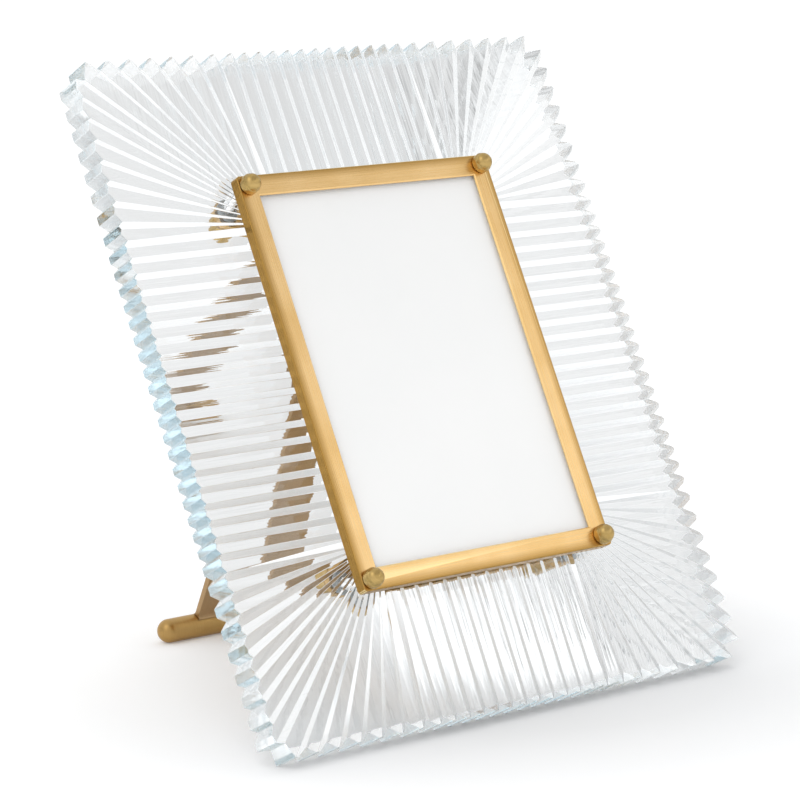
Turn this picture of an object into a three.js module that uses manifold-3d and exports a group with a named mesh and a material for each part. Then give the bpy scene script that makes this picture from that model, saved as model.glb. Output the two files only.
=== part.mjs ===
// Table picture frame: a fluted glass plate with a brass bezel held by four corner bolts,
// standing on a folding brass prop. Millimetres, +Z up, the viewer stands on the -Y side.
import * as THREE from "three";
import { mergeVertices } from "three/addons/utils/BufferGeometryUtils.js";
import Module from "manifold-3d";

const wasm = await Module();
wasm.setup();

// Driving dimensions
const LEAN_DEG = 26.1; // how far the plate leans back from upright

const PLATE_W = 271; // over the flute tips
const PLATE_H = 321.5;
const PLATE_T = 17.2; // at the flat land in the middle
const RIM_DROP = 1.3; // the face falls away this much from the land to the rim
const LAND_INSET_SIDE = 19.5; // from the bezel's outside to the flat land in the middle,
const LAND_INSET_END = 22.3; // whose corners are the centres of the fans
const RIB_PITCH_SIDE = 7.6; // parallel ribs beside the land
const RIB_PITCH_END = 8.15; // parallel ribs above and below the land
const FAN_PITCH_SIDE = 10.1; // fanned ribs round the corners, measured along the rim
const FAN_PITCH_END = 11.5;
const CORNER_TRIM_SIDE = 3; // how far the last ribs stay short of the plate's corner
const CORNER_TRIM_END = 1.8;
const FLUTE_SLOPE = 0.74; // depth of a flute over half its width
const TOOTH_SLOPE = 0.8; // depth of a rim notch over half the pitch
const TOOTH_FLAT_SIDE = 0.42; // blunt tip of a tooth as a share of its pitch
const TOOTH_FLAT_END = 0.25;
const FLUTE_RUN_OUT = 5; // length in which a parallel flute rises to the land
const PLATE_HOLE_D = 6;

const BEZEL_W = 145;
const BEZEL_H = 196.6;
const BEZEL_T = 5.3;
const BAR_W = 10;
const LIP_T = 1.1; // brass in front of the glazing
const LIP_W = 1.6; // how far the lip overlaps the glazing
const BAR_EDGE_R = 0.7;
const BEZEL_CORNER_R = 2;

const GLAZING_T = 1.6;
const PRINT_T = 0.3;
const BOARD_T = 1.2;

const BOLT_D = 4;
const KNOB_D = 9.2;
const KNOB_SKIRT_H = 3.2; // straight part of the knob
const KNOB_H = 7;
const NUT_D = 11;
const NUT_T = 6;
const NUT_FLOOR = 1.6; // closed end of the nut
const WASHER_D = 10;
const WASHER_T = 1;

const BACK_INSET_SIDE = 13; // from the bezel's outside to the back plate's
const BACK_INSET_END = 2.2;
const BACK_T = 2;
const BACK_CORNER_R = 3;
const EAR_D = 12; // round ears on short arms that reach the bolts
const EAR_ARM_LENGTH = 18;
const EAR_ARM_RISE_DEG = 25; // slope of the arms from level
const PANEL_W = 84; // pressed panel that stiffens the back plate
const PANEL_H = 58;
const PANEL_RISE = 0.8;
const PANEL_BELOW_CENTRE = 44;

const HINGE_ABOVE_CENTRE = 90;
const HINGE_BASE_T = 1.6;
const HINGE_BASE_H = 30;
const HINGE_BASE_DROP = 9; // middle of the base below the pin
const HINGE_BASE_MARGIN = 8; // base plate beyond the lugs
const HINGE_BASE_CORNER_R = 2.5;
const LUG_T = 3;
const LUG_FOOT = 1; // how much the lug spreads on the base, each way
const PIN_D = 4;
const PIN_HEAD_D = 6.4;
const PIN_HEAD_T = 1.4;
const EYE_WALL = 2.2;
const AXIS_CLEAR = 1.2; // between the eyes and the hinge base
const SCREW_D = 3;
const SCREW_HEAD_D = 5.6;
const SCREW_HEAD_T = 1.5;

const PROP_SPREAD = 102.3; // how far the foot bar stands behind the hinge, along the floor
const STRAP_EYE_W = 15.6; // the strap widens from the hinge
const STRAP_FOOT_W = 31.6; // to the foot bar
const STRAP_NECK = 12; // parallel part below the pin
const STRAP_T = 3;
const STRAP_FLARE_T = 5.6; // thickness of the welded end
const STRAP_FLARE_H = 2.6;
const FOOT_D = 12;
const FOOT_LENGTH = 73.2;

const SEAT_GAP = 0.3; // between pieces that rest on each other
const HOLE_CLEAR = 0.35; // round a shank in its hole, on the radius

// Values that follow from them
const LEAN = THREE.MathUtils.degToRad(LEAN_DEG);
const AXIS_HEIGHT = PIN_D / 2 + HOLE_CLEAR + EYE_WALL + AXIS_CLEAR;
const EYE_R = PIN_D / 2 + HOLE_CLEAR + EYE_WALL;
const BEZEL_BACK_Z = SEAT_GAP;
const BEZEL_FRONT_Z = BEZEL_BACK_Z + BEZEL_T;
const BACK_FRONT_Z = -PLATE_T - SEAT_GAP - WASHER_T - SEAT_GAP;
const BACK_REAR_Z = BACK_FRONT_Z - BACK_T;
const BASE_FRONT_Z = BACK_REAR_Z - SEAT_GAP;
const BASE_REAR_Z = BASE_FRONT_Z - HINGE_BASE_T;
const HINGE_Z = BASE_REAR_Z - AXIS_HEIGHT;
const BASE_CENTRE_Y = HINGE_ABOVE_CENTRE - HINGE_BASE_DROP;
const LAND_W = BEZEL_W - 2 * LAND_INSET_SIDE;
const LAND_H = BEZEL_H - 2 * LAND_INSET_END;
const BACK_W = BEZEL_W - 2 * BACK_INSET_SIDE;
const BACK_H = BEZEL_H - 2 * BACK_INSET_END;
const BOLT_X = BEZEL_W / 2 - BAR_W / 2;
const BOLT_Y = BEZEL_H / 2 - BAR_W / 2;
const CORNERS = [
  ["top_left", -1, 1],
  ["top_right", 1, 1],
  ["bottom_left", -1, -1],
  ["bottom_right", 1, -1],
];

const MATERIALS = {
  glass: new THREE.MeshStandardMaterial({
    color: 0xe9f1f3,
    roughness: 0.02,
    metalness: 0,
    transparent: true,
    opacity: 0.35,
  }),
  brass: new THREE.MeshStandardMaterial({ color: 0xc99a4e, roughness: 0.38, metalness: 1 }),
  darkBrass: new THREE.MeshStandardMaterial({ color: 0xa8823f, roughness: 0.42, metalness: 1 }),
  paper: new THREE.MeshStandardMaterial({ color: 0xf6f6f5, roughness: 0.7, metalness: 0 }),
  board: new THREE.MeshStandardMaterial({ color: 0xb9ab93, roughness: 0.9, metalness: 0 }),
  silicone: new THREE.MeshStandardMaterial({ color: 0xdfe3e4, roughness: 0.5, metalness: 0 }),
};

// Geometry as a solid that can be joined and cut
function solidOf(geometry) {
  const bare = geometry.clone();
  bare.deleteAttribute("normal");
  bare.deleteAttribute("uv");
  const merged = mergeVertices(bare, 1e-4);
  return new wasm.Manifold(
    new wasm.Mesh({
      numProp: 3,
      vertProperties: new Float32Array(merged.attributes.position.array),
      triVerts: new Uint32Array(merged.index.array),
    }),
  );
}

function geometryOf(solid) {
  const mesh = solid.getMesh();
  const geometry = new THREE.BufferGeometry();
  geometry.setAttribute("position", new THREE.BufferAttribute(mesh.vertProperties, 3));
  geometry.setIndex(new THREE.BufferAttribute(mesh.triVerts, 1));
  geometry.computeVertexNormals();
  return geometry;
}

function joined(...pieces) {
  return pieces.map(solidOf).reduce((sum, piece) => sum.add(piece));
}

function without(solid, ...pieces) {
  return pieces.map(solidOf).reduce((rest, piece) => rest.subtract(piece), solid);
}

// A round piece about an axis through (x, y), from a profile of [radius, z] points
function turned(profile, x = 0, y = 0, sides = 28) {
  const points = profile.map(([radius, z]) => new THREE.Vector2(radius, z));
  const geometry = new THREE.LatheGeometry(points, sides);
  return geometry.rotateX(Math.PI / 2).translate(x, y, 0);
}

function cylinder(diameter, z0, z1, x, y, sides = 28) {
  const radius = diameter / 2;
  return turned([[0, z0], [radius, z0], [radius, z1], [0, z1]], x, y, sides);
}

// A side view, drawn as x = towards the back and y = up, given a width across the piece
function crosswise(shape, width, centreX) {
  const geometry = new THREE.ExtrudeGeometry(shape, {
    depth: width,
    bevelEnabled: false,
    curveSegments: 12,
  });
  return geometry.rotateY(Math.PI / 2).translate(centreX - width / 2, 0, 0);
}

// The tips along one side of the rim: along runs with the rim, the inner end is where the
// rib's crest starts
function sideTips(halfAlong, halfOut, landAlong, landOut, trim, ribPitch, fanPitch) {
  const fanLength = halfAlong - trim - landAlong;
  const fanCount = Math.max(2, Math.round(fanLength / fanPitch));
  const straightCount = Math.max(2, Math.round((2 * landAlong) / ribPitch));
  const fanStep = fanLength / fanCount;
  const straightStep = (2 * landAlong) / straightCount;
  const tips = [];
  for (let i = 0; i < fanCount; i++) {
    const along = -landAlong - fanLength + (i + 0.5) * fanStep;
    tips.push({ rim: [along, halfOut], inner: [-landAlong, landOut], fan: true });
  }
  for (let i = 0; i < straightCount; i++) {
    const along = -landAlong + (i + 0.5) * straightStep;
    tips.push({ rim: [along, halfOut], inner: [along, landOut], fan: false });
  }
  for (let i = 0; i < fanCount; i++) {
    const along = landAlong + (i + 0.5) * fanStep;
    tips.push({ rim: [along, halfOut], inner: [landAlong, landOut], fan: true });
  }
  return tips;
}

// All tips in order round the rim, anticlockwise from the viewer's side
function rimTips() {
  const w = PLATE_W / 2;
  const h = PLATE_H / 2;
  const lw = LAND_W / 2;
  const lh = LAND_H / 2;
  const upright = sideTips(h, w, lh, lw, CORNER_TRIM_SIDE, RIB_PITCH_SIDE, FAN_PITCH_SIDE);
  const level = sideTips(w, h, lw, lh, CORNER_TRIM_END, RIB_PITCH_END, FAN_PITCH_END);
  const place = (tips, turn) =>
    tips.map((tip) => ({ rim: turn(tip.rim), inner: turn(tip.inner), fan: tip.fan }));
  return [
    ...place(upright, ([along, out]) => [out, along]),
    ...place(level, ([along, out]) => [-along, out]),
    ...place(upright, ([along, out]) => [-out, -along]),
    ...place(level, ([along, out]) => [along, -out]),
  ];
}

function distanceToLine(point, from, to) {
  const dx = to[0] - from[0];
  const dy = to[1] - from[1];
  return Math.abs(dx * (point[1] - from[1]) - dy * (point[0] - from[0])) / Math.hypot(dx, dy);
}

// The notch between two tips, with the valley line that runs in from it
function notchBetween(tip, next) {
  const middle = tip.rim.map((value, i) => (value + next.rim[i]) / 2);
  const inner = tip.fan ? tip.inner : next.fan ? next.inner : null;
  const foot = inner ?? tip.inner.map((value, i) => (value + next.inner[i]) / 2);
  const inward = [foot[0] - middle[0], foot[1] - middle[1]];
  const length = Math.hypot(...inward);
  const half = Math.hypot(next.rim[0] - tip.rim[0], next.rim[1] - tip.rim[1]) / 2;
  const step = (half * TOOTH_SLOPE) / length;
  const rim = middle.map((value, i) => value + inward[i] * step);
  const reach =
    (distanceToLine(rim, tip.inner, tip.rim) + distanceToLine(rim, next.inner, next.rim)) / 2;
  return { rim, inner: foot, depth: reach * FLUTE_SLOPE, fan: inner !== null };
}

// Height of the plane through three points, above (x, y)
function heightOnPlane(x, y, points) {
  const plane = new THREE.Plane();
  plane.setFromCoplanarPoints(...points.map((point) => new THREE.Vector3(...point)));
  return -(plane.constant + plane.normal.x * x + plane.normal.y * y) / plane.normal.z;
}

// One end of a tooth's blunt tip, on the facet between the crest and the valley
function toothShoulder(crest, valley) {
  const side = Math.abs(crest.rim[0]) === PLATE_W / 2;
  const along = side ? 1 : 0;
  const share = side ? TOOTH_FLAT_SIDE : TOOTH_FLAT_END;
  const [x, y] = crest.rim.map((value, i) =>
    i === along ? value + (valley.rim[i] - value) * share : value,
  );
  const z = heightOnPlane(x, y, [crest.start, crest.end, valley.end]);
  return { end: [x, y, z], foot: [x, y, -PLATE_T] };
}

// Fluted plate: every rib is a roof of two plane facets between a crest and two valleys
function flutedPlate() {
  const tips = rimTips();
  const rim = tips.flatMap((tip, i) => {
    const next = tips[(i + 1) % tips.length];
    return [{ ...tip, depth: 0, crest: true }, notchBetween(tip, next)];
  });
  const vertices = [];
  const add = (x, y, z) => vertices.push(x, y, z);
  const triangle = (a, b, c) => [a, b, c].forEach((p) => add(...p));
  for (const line of rim) {
    const [ix, iy] = line.inner;
    const [rx, ry] = line.rim;
    line.start = [ix, iy, 0];
    line.end = [rx, ry, -RIM_DROP - line.depth];
    line.foot = [rx, ry, -PLATE_T];
    const share = FLUTE_RUN_OUT / Math.hypot(rx - ix, ry - iy);
    line.runOut =
      line.crest || line.fan
        ? null
        : [ix + (rx - ix) * share, iy + (ry - iy) * share, -RIM_DROP * share - line.depth];
  }
  rim.forEach((line, i) => {
    const next = rim[(i + 1) % rim.length];
    const shoulder = line.crest ? toothShoulder(line, next) : toothShoulder(next, line);
    const outline = [line.start];
    if (line.runOut) outline.push(line.runOut);
    outline.push(line.end, shoulder.end, next.end);
    if (next.runOut) outline.push(next.runOut);
    if (next.start[0] !== line.start[0] || next.start[1] !== line.start[1]) {
      outline.push(next.start);
    }
    const hub = line.crest ? 0 : outline.length - 1;
    for (let k = 1; k < outline.length - 1; k++) {
      const b = outline[(hub + k) % outline.length];
      const c = outline[(hub + k + 1) % outline.length];
      triangle(outline[hub], b, c);
    }
    if (outline.at(-1) === next.start) triangle([0, 0, 0], line.start, next.start);
    for (const [from, to] of [[line, shoulder], [shoulder, next]]) {
      triangle(from.foot, to.foot, to.end);
      triangle(from.foot, to.end, from.end);
      triangle([0, 0, -PLATE_T], to.foot, from.foot);
    }
  });
  const geometry = new THREE.BufferGeometry();
  geometry.setAttribute("position", new THREE.Float32BufferAttribute(vertices, 3));
  const holes = CORNERS.map(([, sx, sy]) =>
    cylinder(PLATE_HOLE_D, -PLATE_T - 1, 1, sx * BOLT_X, sy * BOLT_Y),
  );
  return geometryOf(without(solidOf(geometry), ...holes));
}

// A ring of mitred bars whose section is a list of [inset from the outside, z] points
function mitredRing(width, height, section) {
  const corners = [[-1, -1], [1, -1], [1, 1], [-1, 1]];
  const at = ([sx, sy], [inset, z]) => [sx * (width / 2 - inset), sy * (height / 2 - inset), z];
  const vertices = [];
  corners.forEach((corner, i) => {
    const next = corners[(i + 1) % corners.length];
    section.forEach((point, k) => {
      const after = section[(k + 1) % section.length];
      vertices.push(...at(corner, point), ...at(next, point), ...at(next, after));
      vertices.push(...at(corner, point), ...at(next, after), ...at(corner, after));
    });
  });
  const geometry = new THREE.BufferGeometry();
  geometry.setAttribute("position", new THREE.Float32BufferAttribute(vertices, 3));
  return geometry;
}

function bezel() {
  const rebateZ = BEZEL_FRONT_Z - LIP_T;
  const section = [[0, BEZEL_BACK_Z]];
  const steps = 4;
  for (let i = 0; i <= steps; i++) {
    const angle = (Math.PI / 2) * (i / steps);
    const inset = BAR_EDGE_R * (1 - Math.cos(angle));
    section.push([inset, BEZEL_FRONT_Z - BAR_EDGE_R * (1 - Math.sin(angle))]);
  }
  const softEdge = Math.min(BAR_EDGE_R, LIP_T / 2);
  section.push([BAR_W - softEdge, BEZEL_FRONT_Z], [BAR_W, BEZEL_FRONT_Z - softEdge]);
  section.push([BAR_W, rebateZ], [BAR_W - LIP_W, rebateZ], [BAR_W - LIP_W, BEZEL_BACK_Z]);
  const outline = roundedRectangle(BEZEL_W, BEZEL_H, BEZEL_CORNER_R);
  const blank = solidOf(sheet(outline, BEZEL_BACK_Z - 1, BEZEL_FRONT_Z + 1));
  const ring = solidOf(mitredRing(BEZEL_W, BEZEL_H, section)).intersect(blank);
  const holeD = BOLT_D + 2 * HOLE_CLEAR;
  const holes = CORNERS.map(([, sx, sy]) =>
    cylinder(holeD, BEZEL_BACK_Z - 1, BEZEL_FRONT_Z + 1, sx * BOLT_X, sy * BOLT_Y),
  );
  return geometryOf(without(ring, ...holes));
}

// A flat sheet that fits the bezel's rebate with the seat gap all round
function rebateSheet(frontZ, thickness) {
  const width = BEZEL_W - 2 * (BAR_W - LIP_W) - 2 * SEAT_GAP;
  const height = BEZEL_H - 2 * (BAR_W - LIP_W) - 2 * SEAT_GAP;
  return new THREE.BoxGeometry(width, height, thickness).translate(0, 0, frontZ - thickness / 2);
}

// Domed knob and bolt in one turned piece
function knobBolt() {
  const seat = BEZEL_FRONT_Z + SEAT_GAP;
  const tail = BACK_REAR_Z - SEAT_GAP - (NUT_T - NUT_FLOOR) + SEAT_GAP;
  const shank = BOLT_D / 2;
  const radius = KNOB_D / 2;
  const edge = 0.4;
  const profile = [[0, tail], [shank - edge, tail], [shank, tail + edge], [shank, seat]];
  profile.push([radius - edge, seat], [radius, seat + edge], [radius, seat + KNOB_SKIRT_H]);
  const domeR = radius * 0.9;
  const domeH = KNOB_H - KNOB_SKIRT_H;
  const steps = 5;
  for (let i = 0; i < steps; i++) {
    const angle = (Math.PI / 2) * (i / steps);
    profile.push([domeR * Math.cos(angle), seat + KNOB_SKIRT_H + domeH * Math.sin(angle)]);
  }
  profile.push([0, seat + KNOB_H]);
  return turned(profile);
}

function thumbNut() {
  const front = BACK_REAR_Z - SEAT_GAP;
  const rear = front - NUT_T;
  const radius = NUT_D / 2;
  const bore = BOLT_D / 2 + HOLE_CLEAR;
  const edge = 0.8;
  return turned([
    [0, rear],
    [radius - edge, rear],
    [radius, rear + edge],
    [radius, front - edge / 2],
    [radius - edge / 2, front],
    [bore, front],
    [bore, rear + NUT_FLOOR],
    [0, rear + NUT_FLOOR],
  ]);
}

function washer() {
  const front = -PLATE_T - SEAT_GAP;
  const rear = front - WASHER_T;
  const bore = BOLT_D / 2 + HOLE_CLEAR;
  const outer = WASHER_D / 2;
  return turned([[bore, rear], [outer, rear], [outer, front], [bore, front], [bore, rear]]);
}

function roundedRectangle(width, height, radius) {
  const shape = new THREE.Shape();
  const w = width / 2 - radius;
  const h = height / 2 - radius;
  shape.absarc(w, -h, radius, -Math.PI / 2, 0);
  shape.absarc(w, h, radius, 0, Math.PI / 2);
  shape.absarc(-w, h, radius, Math.PI / 2, Math.PI);
  shape.absarc(-w, -h, radius, Math.PI, 1.5 * Math.PI);
  return shape;
}

function sheet(shape, z0, z1) {
  const depth = z1 - z0;
  const options = { depth, bevelEnabled: false, curveSegments: 6 };
  return new THREE.ExtrudeGeometry(shape, options).translate(0, 0, z0);
}

function hingeScrewPlaces() {
  const x = hingeBaseWidth() / 2 - HINGE_BASE_MARGIN / 2;
  const y = HINGE_BASE_H / 2 - SCREW_HEAD_D;
  return [
    ["a", -x, BASE_CENTRE_Y + y],
    ["b", x, BASE_CENTRE_Y + y],
    ["c", -x, BASE_CENTRE_Y - y],
    ["d", x, BASE_CENTRE_Y - y],
  ];
}

function hingeBaseWidth() {
  return STRAP_EYE_W + 2 * (SEAT_GAP + LUG_T + HINGE_BASE_MARGIN);
}

// Back plate with a pressed panel and four ears that the bolts pass through
function backPlate() {
  const armRise = THREE.MathUtils.degToRad(EAR_ARM_RISE_DEG);
  const ears = CORNERS.flatMap(([, sx, sy]) => {
    const end = cylinder(EAR_D, BACK_REAR_Z, BACK_FRONT_Z, sx * BOLT_X, sy * BOLT_Y);
    const arm = new THREE.BoxGeometry(EAR_ARM_LENGTH, EAR_D, BACK_T);
    arm.translate(-EAR_ARM_LENGTH / 2, 0, (BACK_REAR_Z + BACK_FRONT_Z) / 2);
    arm.rotateZ(sx > 0 ? sy * armRise : Math.PI - sy * armRise);
    return [end, arm.translate(sx * BOLT_X, sy * BOLT_Y, 0)];
  });
  const outline = roundedRectangle(BACK_W, BACK_H, BACK_CORNER_R);
  const body = sheet(outline, BACK_REAR_Z, BACK_FRONT_Z);
  const panel = new THREE.BoxGeometry(PANEL_W, PANEL_H, PANEL_RISE + BACK_T / 2);
  panel.translate(0, -PANEL_BELOW_CENTRE, BACK_REAR_Z + (BACK_T / 2 - PANEL_RISE) / 2);
  const holeD = BOLT_D + 2 * HOLE_CLEAR;
  const boltHoles = CORNERS.map(([, sx, sy]) =>
    cylinder(holeD, BACK_REAR_Z - 1, BACK_FRONT_Z + 1, sx * BOLT_X, sy * BOLT_Y),
  );
  const screwHoles = hingeScrewPlaces().map(([, x, y]) =>
    cylinder(SCREW_D + 2 * HOLE_CLEAR, BACK_REAR_Z - 1, BACK_FRONT_Z + 1, x, y, 24),
  );
  return geometryOf(without(joined(body, panel, ...ears), ...boltHoles, ...screwHoles));
}

// Hinge bracket: a base with a lug on each side of the strap
function hingeBracket() {
  const outline = roundedRectangle(hingeBaseWidth(), HINGE_BASE_H, HINGE_BASE_CORNER_R);
  const base = sheet(outline, BASE_REAR_Z, BASE_FRONT_Z).translate(0, BASE_CENTRE_Y, 0);
  const foot = EYE_R + LUG_FOOT;
  const profile = new THREE.Shape();
  profile.moveTo(-HINGE_Z - AXIS_HEIGHT - HINGE_BASE_T / 2, -foot);
  profile.lineTo(-HINGE_Z, -EYE_R);
  profile.absarc(-HINGE_Z, 0, EYE_R, -Math.PI / 2, Math.PI / 2);
  profile.lineTo(-HINGE_Z - AXIS_HEIGHT - HINGE_BASE_T / 2, foot);
  const lugX = (STRAP_EYE_W + LUG_T) / 2 + SEAT_GAP;
  const lugs = [-lugX, lugX].map((x) =>
    crosswise(profile, LUG_T, x).translate(0, HINGE_ABOVE_CENTRE, 0),
  );
  const bore = new THREE.CylinderGeometry(
    PIN_D / 2 + HOLE_CLEAR,
    PIN_D / 2 + HOLE_CLEAR,
    hingeBaseWidth() + 2,
    28,
  );
  bore.rotateZ(Math.PI / 2).translate(0, HINGE_ABOVE_CENTRE, HINGE_Z);
  const screwHoles = hingeScrewPlaces().map(([, x, y]) =>
    cylinder(SCREW_D + 2 * HOLE_CLEAR, BASE_REAR_Z - 1, BASE_FRONT_Z + 1, x, y, 24),
  );
  return geometryOf(without(joined(base, ...lugs), bore, ...screwHoles));
}

function hingeScrew() {
  const seat = BASE_REAR_Z - SEAT_GAP;
  const tip = BACK_FRONT_Z + SEAT_GAP;
  const shank = SCREW_D / 2;
  const head = SCREW_HEAD_D / 2;
  const top = seat - SCREW_HEAD_T;
  return turned(
    [
      [0, top],
      [head * 0.55, top + 0.15],
      [head * 0.9, top + 0.6],
      [head, seat - 0.3],
      [head, seat],
      [shank, seat],
      [shank, tip],
      [0, tip],
    ],
    0,
    0,
    24,
  );
}

function hingePin() {
  const half = STRAP_EYE_W / 2 + SEAT_GAP + LUG_T + SEAT_GAP;
  const shank = PIN_D / 2;
  const head = PIN_HEAD_D / 2;
  const end = half + PIN_HEAD_T;
  const points = [
    [0, -end],
    [head - 0.4, -end],
    [head, -end + 0.4],
    [head, -half],
    [shank, -half],
    [shank, half],
    [head, half],
    [head, end - 0.4],
    [head - 0.4, end],
    [0, end],
  ].map(([radius, along]) => new THREE.Vector2(radius, along));
  return new THREE.LatheGeometry(points, 28).rotateZ(-Math.PI / 2);
}

// Where the prop stands: the foot bar rests on the floor, so its length and angle follow
const PLATE_ORIGIN_Y = (PLATE_H / 2) * Math.sin(LEAN) - PLATE_T * Math.cos(LEAN);
const PLATE_ORIGIN_Z = (PLATE_H / 2) * Math.cos(LEAN) + PLATE_T * Math.sin(LEAN);
const HINGE_WORLD_Y =
  PLATE_ORIGIN_Y + HINGE_ABOVE_CENTRE * Math.sin(LEAN) - HINGE_Z * Math.cos(LEAN);
const HINGE_WORLD_Z =
  PLATE_ORIGIN_Z + HINGE_ABOVE_CENTRE * Math.cos(LEAN) + HINGE_Z * Math.sin(LEAN);
const LEG_LENGTH = Math.hypot(PROP_SPREAD, HINGE_WORLD_Z - FOOT_D / 2); // axis to axis
const PROP_ANGLE = Math.atan2(PROP_SPREAD, HINGE_WORLD_Z - FOOT_D / 2); // from upright
const OPEN_ANGLE = PROP_ANGLE + LEAN; // between the prop and the plate

// The prop's strap: a side view with its eye, its heel and its flared end, cut to a taper
function strap() {
  const half = STRAP_T / 2;
  const flare = STRAP_FLARE_T / 2;
  const saddleR = FOOT_D / 2 + SEAT_GAP;
  const saddleAngle = Math.asin(flare / saddleR);
  const bottom = -LEG_LENGTH + saddleR * Math.cos(saddleAngle);
  const heel = (AXIS_HEIGHT - SEAT_GAP - half * Math.cos(OPEN_ANGLE)) / Math.sin(OPEN_ANGLE);
  const meet = Math.asin(half / EYE_R);
  const shape = new THREE.Shape();
  const up = Math.PI / 2;
  shape.absarc(0, -LEG_LENGTH, saddleR, up + saddleAngle, up - saddleAngle, true);
  shape.quadraticCurveTo(half, bottom + STRAP_FLARE_H * 0.3, half, bottom + STRAP_FLARE_H);
  shape.absarc(0, 0, EYE_R, meet - Math.PI / 2, Math.PI / 2 - meet);
  shape.lineTo(half, Math.max(heel, EYE_R));
  shape.lineTo(-half, Math.max(heel, EYE_R));
  shape.absarc(0, 0, EYE_R, Math.PI / 2 + meet, 1.5 * Math.PI - meet);
  shape.lineTo(-half, bottom + STRAP_FLARE_H);
  shape.quadraticCurveTo(-half, bottom + STRAP_FLARE_H * 0.3, -flare, bottom);
  const hole = new THREE.Path();
  hole.absarc(0, 0, PIN_D / 2 + HOLE_CLEAR, 0, 2 * Math.PI, true);
  shape.holes.push(hole);
  const eyeX = STRAP_EYE_W / 2;
  const footX = STRAP_FOOT_W / 2;
  const taper = new THREE.Shape([
    new THREE.Vector2(-footX, -LEG_LENGTH),
    new THREE.Vector2(footX, -LEG_LENGTH),
    new THREE.Vector2(eyeX, -STRAP_NECK),
    new THREE.Vector2(eyeX, 2 * STRAP_NECK),
    new THREE.Vector2(-eyeX, 2 * STRAP_NECK),
    new THREE.Vector2(-eyeX, -STRAP_NECK),
  ]);
  const blank = solidOf(crosswise(shape, STRAP_FOOT_W + 2, 0));
  return geometryOf(blank.intersect(solidOf(sheet(taper, -EYE_R - 1, EYE_R + 1))));
}

// Round bar with hemispherical ends, lying along X
function footBar() {
  const radius = FOOT_D / 2;
  const half = FOOT_LENGTH / 2 - radius;
  const points = [];
  const steps = 7;
  for (let i = 0; i <= steps; i++) {
    const angle = -Math.PI / 2 + (Math.PI / 2) * (i / steps);
    points.push(new THREE.Vector2(radius * Math.cos(angle), -half + radius * Math.sin(angle)));
  }
  for (let i = 0; i <= steps; i++) {
    const angle = (Math.PI / 2) * (i / steps);
    points.push(new THREE.Vector2(radius * Math.cos(angle), half + radius * Math.sin(angle)));
  }
  points[0].x = 0;
  points.at(-1).x = 0;
  return new THREE.LatheGeometry(points, 32).rotateZ(-Math.PI / 2);
}

function piece(name, geometry, material, parent, x = 0, y = 0, z = 0) {
  const mesh = new THREE.Mesh(geometry, MATERIALS[material]);
  mesh.name = name;
  mesh.position.set(x, y, z);
  parent.add(mesh);
  return mesh;
}

const frame = new THREE.Group();
const plate = new THREE.Group(); // its own x right, y up the plate, z out towards the viewer
plate.rotation.x = Math.PI / 2 - LEAN;
plate.position.set(0, PLATE_ORIGIN_Y, PLATE_ORIGIN_Z);
const prop = new THREE.Group(); // its own y runs from the foot bar up to the hinge
prop.rotation.x = Math.PI / 2 + PROP_ANGLE;
prop.position.set(0, HINGE_WORLD_Y, HINGE_WORLD_Z);
frame.add(plate, prop);

const glazingZ = BEZEL_FRONT_Z - LIP_T - SEAT_GAP;
const printZ = glazingZ - GLAZING_T - SEAT_GAP / 2;
const boardZ = printZ - PRINT_T - SEAT_GAP / 2;
piece("glass_plate", flutedPlate(), "glass", plate);
piece("front_bezel", bezel(), "brass", plate);
piece("glazing_pane", rebateSheet(glazingZ, GLAZING_T), "glass", plate);
piece("photo_print", rebateSheet(printZ, PRINT_T), "paper", plate);
piece("backing_board", rebateSheet(boardZ, BOARD_T), "board", plate);
piece("back_plate", backPlate(), "brass", plate);
for (const [corner, sx, sy] of CORNERS) {
  const x = sx * BOLT_X;
  const y = sy * BOLT_Y;
  piece(`knob_bolt_${corner}`, knobBolt(), "darkBrass", plate, x, y);
  piece(`soft_washer_${corner}`, washer(), "silicone", plate, x, y);
  piece(`thumb_nut_${corner}`, thumbNut(), "darkBrass", plate, x, y);
}
piece("hinge_bracket", hingeBracket(), "brass", plate);
for (const [letter, x, y] of hingeScrewPlaces()) {
  piece(`hinge_screw_${letter}`, hingeScrew(), "darkBrass", plate, x, y);
}
piece("hinge_pin", hingePin(), "darkBrass", plate, 0, HINGE_ABOVE_CENTRE, HINGE_Z);
piece("prop_strap", strap(), "brass", prop);
piece("foot_bar", footBar(), "brass", prop, 0, -LEG_LENGTH, 0);

// The origin is on the floor, under the middle of the frame's outer box
frame.updateMatrixWorld(true);
const outer = new THREE.Box3().setFromObject(frame, true);
const middleY = (outer.min.y + outer.max.y) / 2;
plate.position.y -= middleY;
prop.position.y -= middleY;

export default frame;
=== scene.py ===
"""Fluted glass picture frame with a brass bezel, standing on its folding brass prop."""

import math

import bmesh
import bpy
from mathutils import Matrix, Vector


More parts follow.
